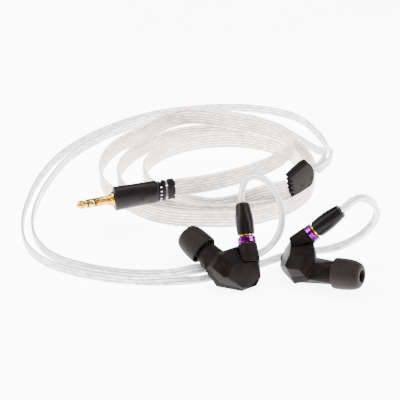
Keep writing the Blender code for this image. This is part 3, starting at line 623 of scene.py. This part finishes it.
def settle(piece, body, slot, *nodes):
    """Let a finished piece ride on its body and stand for the CAD nodes it replaces."""
    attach(piece, body)
    if nodes:
        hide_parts(*nodes)
    print(piece.name, len(piece.data.polygons), "faces")
    return piece


def aimed(spot, aim):
    """A frame at a spot, in millimetres, with +Z along aim."""
    turn = Vector((0, 0, 1)).rotation_difference(aim).to_matrix().to_4x4()
    return Matrix.Translation(spot) @ turn


jack_across = EDGE.cross(JACK_AIM).normalized()
jack_turn = Matrix((jack_across, EDGE, JACK_AIM)).transposed().to_4x4()
jack_at = Matrix.Translation((JACK_END + LAYOUT) * MM) @ jack_turn @ Matrix.Scale(MM, 4)
print("plug starts at", tuple(round(value, 4) for value in jack_at.translation))

# %% [markdown]
# ## The gold plug
# A three-pole plug is a stack of turned contacts kept apart by thin black rings. The tip has a
# rounded nose, a waist that the player's spring clicks into, and a shoulder. Each edge has a
# tiny chamfer, because a sharp edge would catch no light.

# %% Plug contacts
tip_section = [(0, 0)] + soft([(0.05, 0.0), (0.75, 0.3), (1.45, 1.15), (1.72, 1.9), (1.62, 2.6),
                               (1.3, 3.1)]) + [(1.2, 3.25), (1.5, 3.75), (1.68, 3.95), (1.68, 4.02),
                                               (0, 4.02)]
settle(finished("plug_tip", lathe(tip_section, jack_at), gold), "cable_assembly", "contact_gold",
       "jack_tip")
ring_section = [(0, 4.72), (1.66, 4.72), (1.74, 4.82), (1.74, 6.7), (1.66, 6.8), (0, 6.8)]
settle(finished("plug_ring", lathe(ring_section, jack_at), gold), "cable_assembly", "contact_gold",
       "jack_ring")
sleeve_section = [(0, 7.6), (1.66, 7.6), (1.74, 7.7), (1.74, 12.0), (1.95, 12.15), (2.2, 12.25),
                  (2.2, 12.5), (2.06, 12.6), (2.06, 12.8), (2.2, 12.9), (2.2, 13.45), (2.3, 13.6),
                  (2.8, 13.6), (2.9, 13.7), (2.9, 14.3), (2.8, 14.4), (2.0, 14.4), (2.0, 16.6), (0, 16.6)]
settle(finished("plug_sleeve_gold", lathe(sleeve_section, jack_at), gold), "cable_assembly",
       "contact_gold", "jack_sleeve")
for name, start, end in (("plug_gap_front", 4.06, 4.68), ("plug_gap_rear", 6.84, 7.56)):
    section = [(0, start), (1.62, start), (1.67, start + 0.06), (1.67, end - 0.06), (1.62, end), (0, end)]
    node = "jack_front_insulator" if start < 5 else "jack_rear_insulator"
    settle(finished(name, lathe(section, jack_at), insulator_black), "cable_assembly",
           "insulator_black", node)

# %% [markdown]
# ## The plug's barrel
# The barrel is an oval tube, a little fatter at the plug, with rounded rims and a tiny side screw.
# It starts as a cone primitive squeezed to an oval; bevelled rims and an inset front face with a
# step inwards make the mouth that the gold collar sits in.

# %% Barrel


def oval(deep, tall, start, end, narrowing, rim, steps=72):
    """An oval barrel between two heights on the plug's axis, its rims rounded."""
    bm = bmesh.new()
    bmesh.ops.create_cone(bm, segments=steps, cap_ends=True, radius1=0.5, radius2=0.5 * narrowing,
                          depth=end - start)
    bmesh.ops.scale(bm, vec=(deep, tall, 1), verts=bm.verts)
    bmesh.ops.translate(bm, vec=(0, 0, (start + end) / 2), verts=bm.verts)
    rims = [edge for edge in bm.edges if abs(edge.verts[0].co.z - edge.verts[1].co.z) < 1e-4]
    bmesh.ops.bevel(bm, geom=rims, offset=rim, affect="EDGES", segments=5, profile=0.5, material=-1)
    return bm


bm = oval(7.2, 10.2, 14.7, 32.0, 0.91, 0.75)
mouth = min(bm.faces, key=lambda face: face.calc_center_median().z)
bmesh.ops.inset_region(bm, faces=[mouth], thickness=0.45, depth=0.0)
mouth = min((face for face in bm.faces if len(face.verts) > 8), key=lambda f: f.calc_center_median().z)
bmesh.ops.inset_region(bm, faces=[mouth], thickness=0.1, depth=-0.35)
bmesh.ops.transform(bm, matrix=jack_at, verts=bm.verts)
settle(finished("plug_barrel", bm, plug_black, 30), "cable_assembly", "housing_black", "jack_housing")
screw_at = jack_at @ Matrix.Translation((-3.42, 0, 25.0)) @ Matrix.Rotation(-math.pi / 2, 4, "Y")
section = [(0, -0.2), (0.5, -0.2), (0.62, 0.02), (0.74, 0.03), (0.8, -0.05), (0.8, -0.6), (0, -0.6)]
# The side screw is coloured with painted shade, because it sits in the shadow of its hole.
settle(finished("side_screw", lathe(section, screw_at, 24), painted_shade_black), "cable_assembly",
       "spring_steel", "jack_grub_screw")

# %% [markdown]
# ## The laced strain relief
# Behind the barrel the cores are laced through two toothed blocks, which spreads the pull. Where
# they pass over a slot, short bright lengths of clear sleeve show. Each block is a turned form
# squeezed to an oval, with small teeth on its two broad faces. The laces are short rods with round
# ends.

# %% Toothed blocks


def pill(start, end, radius, steps=20):
    """A short rod with round ends, from start to end."""
    aim = end - start
    half = [(radius * math.sin(math.pi / 2 * k / 6), -radius * math.cos(math.pi / 2 * k / 6))
            for k in range(7)]
    far = [(r, aim.length - z) for r, z in reversed(half)]
    return lathe(half + far, aimed(start, aim.normalized()), steps)


def gather(name, pieces, frame_at, finish, sharp=40):
    """Join several bmeshes into one object and place them together."""
    joined = bmesh.new()
    for bm in pieces:
        mesh = bpy.data.meshes.new("part")
        bm.to_mesh(mesh)
        bm.free()
        joined.from_mesh(mesh)
        bpy.data.meshes.remove(mesh)
    bmesh.ops.transform(joined, matrix=frame_at, verts=joined.verts)
    return finished(name, joined, finish, sharp)


def tooth(spot, size, rim):
    """A small block with every edge rounded."""
    bm = bmesh.new()
    bmesh.ops.create_cube(bm, size=1.0)
    bmesh.ops.scale(bm, vec=size, verts=bm.verts)
    bmesh.ops.bevel(bm, geom=bm.edges[:], offset=rim, affect="EDGES", segments=2, profile=0.5,
                    material=-1)
    bmesh.ops.translate(bm, vec=spot, verts=bm.verts)
    return bm


def squashed(section, deep, tall):
    """A turned form squeezed to an oval; radii are shares of its half size."""
    bm = lathe(section, Matrix.Identity(4), 72)
    bmesh.ops.scale(bm, vec=(deep / 2, tall / 2, 1), verts=bm.verts)
    return bm


inner_section = [(0, 32.3), (0.93, 32.3), (0.98, 32.45), (0.98, 32.75), (0.84, 32.9), (0.84, 33.6),
                 (0.98, 33.75), (1.0, 33.9), (1.0, 34.9), (0.95, 35.15), (0, 35.15)]
outer_section = [(0, 35.85), (0.93, 35.85), (0.99, 36.1), (0.99, 38.0), (0.9, 38.4), (0.84, 38.9),
                 (0, 38.9)]
comb_inner = [squashed(inner_section, 4.6, 9.2)]
comb_outer = [squashed(outer_section, 4.6, 9.2)]
for row in range(6):
    height = (row - 2.5) * 1.42
    depth = 2.2 * math.sqrt(1 - (height / 4.6) ** 2)
    for face in (-1, 1):
        comb_outer.append(tooth((face * (depth - 0.3), height, 38.45), (0.62, 0.8, 0.95), 0.2))
        comb_inner.append(tooth((face * (depth - 0.25), height, 34.9), (0.5, 0.7, 0.5), 0.14))
settle(gather("comb_inner", comb_inner, jack_at, plug_black, 30), "cable_assembly", "comb_black",
       "strain_relief_inner")
settle(gather("comb_outer", comb_outer, jack_at, plug_black, 30), "cable_assembly", "comb_black",
       "strain_relief_outer")

# %% Laces of clear sleeve
laces = []
for start, length, rows in ((33.1, 0.25, (-2.5, -0.85, 0.85, 2.5)), (35.25, 0.4, (-2.6, 2.9)),
                            (38.75, 0.25, (-1.9, 2.1))):
    for height in rows:
        depth = 2.05 * math.sqrt(1 - (height / 4.3) ** 2)
        for face in (-1, 1):
            begin = Vector((face * depth, height, start))
            laces.append(pill(begin, begin + Vector((0, 0, length)), 0.24))
lace_clear = moulding("lace_clear", "f2f2f2", "ffffff", 0.18)
settle(gather("laces", laces, jack_at, lace_clear), "cable_assembly", "cable_clear")

# %% [markdown]
# ## The splitter
# Two black plates clamp the cores where the cable divides. The entry side is cut in saw teeth
# that grip the sleeves, and the other side is one easy curve. Each plate is a flat face extruded,
# with every rim bevelled so that it catches a line of light.

# %% Splitter plates
split_across = SPLITTER_AIM.cross(EDGE).normalized()
split_up = split_across.cross(SPLITTER_AIM).normalized()
split_turn = Matrix((SPLITTER_AIM, split_up, split_across)).transposed().to_4x4()
split_at = Matrix.Translation((SPLITTER_MIDDLE + LAYOUT) * MM) @ split_turn @ Matrix.Scale(MM, 4)
PLATE = [(-7.1, -3.6), (-6.9, -3.0), (-5.8, -2.3), (-7.1, -1.1), (-5.6, -0.4), (-6.8, 1.0), (-5.3, 1.9),
         (-6.2, 3.0), (-4.8, 3.7), (-6.0, 5.0), (-3.9, 6.0), (-0.9, 7.0), (1.9, 7.7), (3.3, 7.3),
         (4.2, 5.8), (4.5, 3.6), (4.2, 1.3), (3.2, -1.2), (1.6, -2.8), (-2.4, -3.5)]
curved_side = soft(PLATE[9:], 0.5)
plate_outline = [Vector(point) for point in PLATE[:9] + curved_side]


def plate(low, high, rim):
    """The outline extruded between two heights, with its rims rounded."""
    bm = bmesh.new()
    face = bm.faces.new([bm.verts.new((spot.x, spot.y, low)) for spot in plate_outline])
    raised = bmesh.ops.extrude_face_region(bm, geom=[face])
    lifted = [item for item in raised["geom"] if isinstance(item, bmesh.types.BMVert)]
    bmesh.ops.translate(bm, vec=(0, 0, high - low), verts=lifted)
    bmesh.ops.recalc_face_normals(bm, faces=bm.faces)
    rims = [edge for edge in bm.edges if abs(edge.verts[0].co.z - edge.verts[1].co.z) < 1e-5]
    bmesh.ops.bevel(bm, geom=rims, offset=rim, affect="EDGES", segments=4, profile=0.5, material=-1)
    return bm


for name, node, low, high in (("splitter_face", "splitter_front", 0.15, 2.15),
                              ("splitter_rear", "splitter_back", -2.15, -0.15)):
    settle(gather(name, [plate(low, high, 0.28)], split_at, splitter_black, 30), "cable_assembly",
           "splitter_black", node)
for number, (x, y) in enumerate(((2.7, 0.5), (-1.9, -0.6))):
    screw_at = split_at @ Matrix.Translation((x, y, 2.0))
    section = [(0, 0.02), (0.36, 0.02), (0.46, 0.17), (0.6, 0.18), (0.66, 0.12), (0.66, -0.6), (0, -0.6)]
    # The clamp screws are coloured with painted shade, because they sit in shadow.
    settle(finished(f"clamp_screw_{number + 1}", lathe(section, screw_at, 24), painted_shade_black),
           "cable_assembly", "spring_steel", f"splitter_screw_{number + 1}")

# %% [markdown]
# ## Ear tips
# A tip is a dome of soft silicone with a sound hole, rolled back over itself as a thin skirt, and
# a thicker sleeve inside that grips the nozzle. Its section is drawn as smooth curves: outside of
# the skirt, round the mouth, down the bore, and up again under the skirt.

# %% Ear tips and nozzles
NOZZLE_ROOT = Vector((-14.2, 9.2, -1.4))
NOZZLE_AIM = Vector((-0.57, 0.34, 0.75)).normalized()
outside = soft([(5.42, 0.62), (5.6, 0.75), (5.68, 2.0), (5.66, 4.0), (5.5, 6.4), (5.08, 8.6), (4.3, 10.1),
                (3.4, 10.66), (2.75, 10.78), (2.35, 10.7), (2.12, 10.3), (2.1, 9.6)])
inside = soft([(3.6, 7.2), (3.95, 8.0), (4.35, 8.1), (4.75, 7.2), (5.05, 5.0), (5.2, 2.4), (5.26, 0.8),
               (5.34, 0.62)])
tip_section = outside + [(2.1, 6.1), (2.8, 5.8), (2.8, 1.5), (2.95, 1.3), (3.45, 1.3), (3.6, 1.5)] + inside
for side in ("left", "right"):
    nozzle_at = frames[side] @ aimed(NOZZLE_ROOT, NOZZLE_AIM)
    settle(finished(f"{side}_silicone_tip", lathe(tip_section, nozzle_at, 72), silicone, 50),
           f"{side}_ear_tip", "silicone", f"{side}_ear_tip")
    section = [(1.7, -2.2), (2.6, -2.2), (2.6, 0.3), (3.3, 0.3), (3.4, 0.4), (3.4, 0.8), (3.3, 0.9),
               (2.4, 0.9), (2.4, 4.0), (2.62, 4.35), (2.7, 4.5), (2.7, 5.1), (2.6, 5.3), (2.45, 5.5),
               (2.3, 5.6), (1.8, 5.6), (1.7, 5.5)]
    settle(finished(f"{side}_nozzle_spout", lathe(section, nozzle_at, 64), neck_black),
           f"{side}_earpiece", "nozzle_metal", f"{side}_nozzle")

# %% [markdown]
# ## Connector barrels, gold contacts and violet collars
# The grip on each branch is a slim barrel, widest a little below its middle. Below it a thread of
# gold shows, then the socket's violet collar, which has a groove and flat facets that sparkle.

# %% Connectors
BARREL = [(2.1, 2.1)] + soft([(3.0, 2.1), (3.16, 2.16), (3.24, 2.5), (3.34, 4.6), (3.36, 6.6), (3.26, 8.4),
                              (2.98, 10.6), (2.68, 12.6), (2.5, 13.35), (2.34, 13.56), (2.1, 13.6)])
BARREL += [(1.75, 13.6), (1.65, 13.3), (1.6, 12.4), (0, 12.4)]
for side in ("left", "right"):
    at = frames[side]
    settle(finished(f"{side}_grip", lathe(BARREL + [(0, 6.2), (2.1, 6.2)], at, 72), barrel_black, 35),
           "cable_assembly", "barrel_black", f"{side}_connector_barrel")
    section = [(0.85, -2.6), (1.15, -2.6), (1.2, -2.5), (1.2, -1.4), (1.0, -1.4), (1.0, -0.6), (1.2, -0.6),
               (1.2, 1.35), (2.6, 1.35), (2.7, 1.42), (2.7, 1.78), (2.6, 1.85), (1.9, 1.85), (1.9, 5.0),
               (0.85, 5.0)]
    settle(finished(f"{side}_plug_gold", lathe(section, at, 48), gold), "cable_assembly",
           "contact_gold", f"{side}_plug_sleeve")
    section = [(2.3, -1.1), (3.1, -1.1), (3.36, -0.92), (3.4, -0.8), (3.4, -0.2), (3.22, -0.05),
               (3.22, 0.05), (3.4, 0.2), (3.4, 0.8), (3.36, 0.92), (3.1, 1.1), (2.4, 1.1), (2.3, 1.0)]
    settle(finished(f"{side}_violet_collar", lathe(section, at, 18), violet, 12),
           f"{side}_earpiece", "ring_purple", f"{side}_socket_ring")

# %% [markdown]
# ## Shells and faceplates
# The shells are cut like gems: flat facets that meet in crisp edges with a hair of softness. The
# frame's own solids already have the facets, so each is copied, its loose triangles are merged back
# to flat faces, and its edges are bevelled, which is what turns a model edge into a real one.

# %% Soften the gem-cut shells
CRISP = 18  # degrees: edges that turn more than this are bevelled


def soften(node, name, finish, width):
    """A copy of the frame's solid with flat faces and a rounded edge of that width, in millimetres."""
    bm = bmesh.new()
    bm.from_mesh(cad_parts[node].data)
    bmesh.ops.remove_doubles(bm, verts=bm.verts, dist=0.002 * MM)
    bmesh.ops.dissolve_limit(bm, angle_limit=math.radians(1.5), verts=bm.verts, edges=bm.edges)
    crisp = [edge for edge in bm.edges
             if len(edge.link_faces) == 2 and edge.calc_face_angle() > math.radians(CRISP)]
    bmesh.ops.bevel(bm, geom=crisp, offset=width * MM, affect="EDGES", segments=3, profile=0.5,
                    material=-1, clamp_overlap=True)
    return finished(name, bm, finish, 32)


for side in ("left", "right"):
    settle(soften(f"{side}_shell", f"{side}_shell_body", shell_black, 0.22),
           f"{side}_earpiece", "shell_black", f"{side}_shell")
    settle(soften(f"{side}_faceplate", f"{side}_gem", shell_black, 0.1),
           f"{side}_earpiece", "faceplate_black", f"{side}_faceplate")

# %% [markdown]
# ## Everything inside
# Drivers, boards, tubes and contacts are right as the frame has them. They only need finishes, so
# that a set taken apart looks as real as a closed one.

# %% Finishes for the frame's own pieces
inner = {"nozzle_mesh": bright_steel, "woofer": bright_steel, "tweeter": bright_steel,
         "crossover_board": board_green, "sound_tube": tube_clear, "damper": damper_red,
         "socket_body": gold, "socket_insulator": insulator_white, "socket_contact": gold,
         "plug_insulator": insulator_black, "plug_pin": gold, "snap_ring": bright_steel}
for side in ("left", "right"):
    for name, finish in inner.items():
        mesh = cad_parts[f"{side}_{name}"].data
        mesh.materials.clear()
        mesh.materials.append(finish)
print(2 * len(inner), "inner pieces finished")

# %% The cables
print("the cables are the ribbons made above")

# %% [markdown]
# ## Table, room and lamps
# A catalogue shot stands on a white table lit from within, so the table glows and the shadows stay
# soft. Black pieces show their form only by what they reflect: long lamps at the left and right draw
# the bright lines on barrels and facets, a broad one hangs above, a weak one fills in from the front,
# and the room itself is kept dimmer.

# %% Table
bm = bmesh.new()
bmesh.ops.create_grid(bm, x_segments=1, y_segments=1, size=1.6)
bmesh.ops.translate(bm, vec=(0, 0, -0.0002), verts=bm.verts)
paint = Paint("table_white", Roughness=0.7, Emission_Strength=7.5, Specular_IOR_Level=0.1)
where = paint.place()
haze = paint.noise(0.01, where, 2.0)
table_white = paint.finish(Base_Color=paint.colour(haze.ramp(0.3, 0.7), "fbfbfb", "ffffff"),
                           Emission_Color=paint.colour(haze.ramp(0.3, 0.7), "fdfdfd", "ffffff"))
table = finished("table", bm, table_white)
print("table ready")

# %% Room and lamps
room = bpy.data.worlds.new("room")
bpy.context.scene.world = room
room.use_nodes = True
sky = room.node_tree.nodes["Background"]
sky.inputs["Color"].default_value = (1, 1, 1, 1)
sky.inputs["Strength"].default_value = 0.5


def lamp(name, place, target, wide, long, power):
    light = bpy.data.lights.new(name, "AREA")
    light.shape = "RECTANGLE"
    light.size = wide
    light.size_y = long
    light.energy = power
    holder = bpy.data.objects.new(name, light)
    bpy.context.scene.collection.objects.link(holder)
    holder.location = place
    holder.rotation_euler = (Vector(target) - Vector(place)).to_track_quat("-Z", "Y").to_euler()
    print(name, power, "W")


lamp("overhead", (0.05, 0.15, 0.7), (0, 0.03, 0), 0.6, 0.4, 9)
lamp("left_strip", (-0.55, 0.0, 0.35), (0, 0.03, 0), 0.1, 0.6, 6)
lamp("right_strip", (0.5, -0.1, 0.4), (0, 0.03, 0), 0.1, 0.5, 5)
lamp("front_fill", (0.0, -0.6, 0.5), (0, 0, 0), 0.5, 0.3, 2)
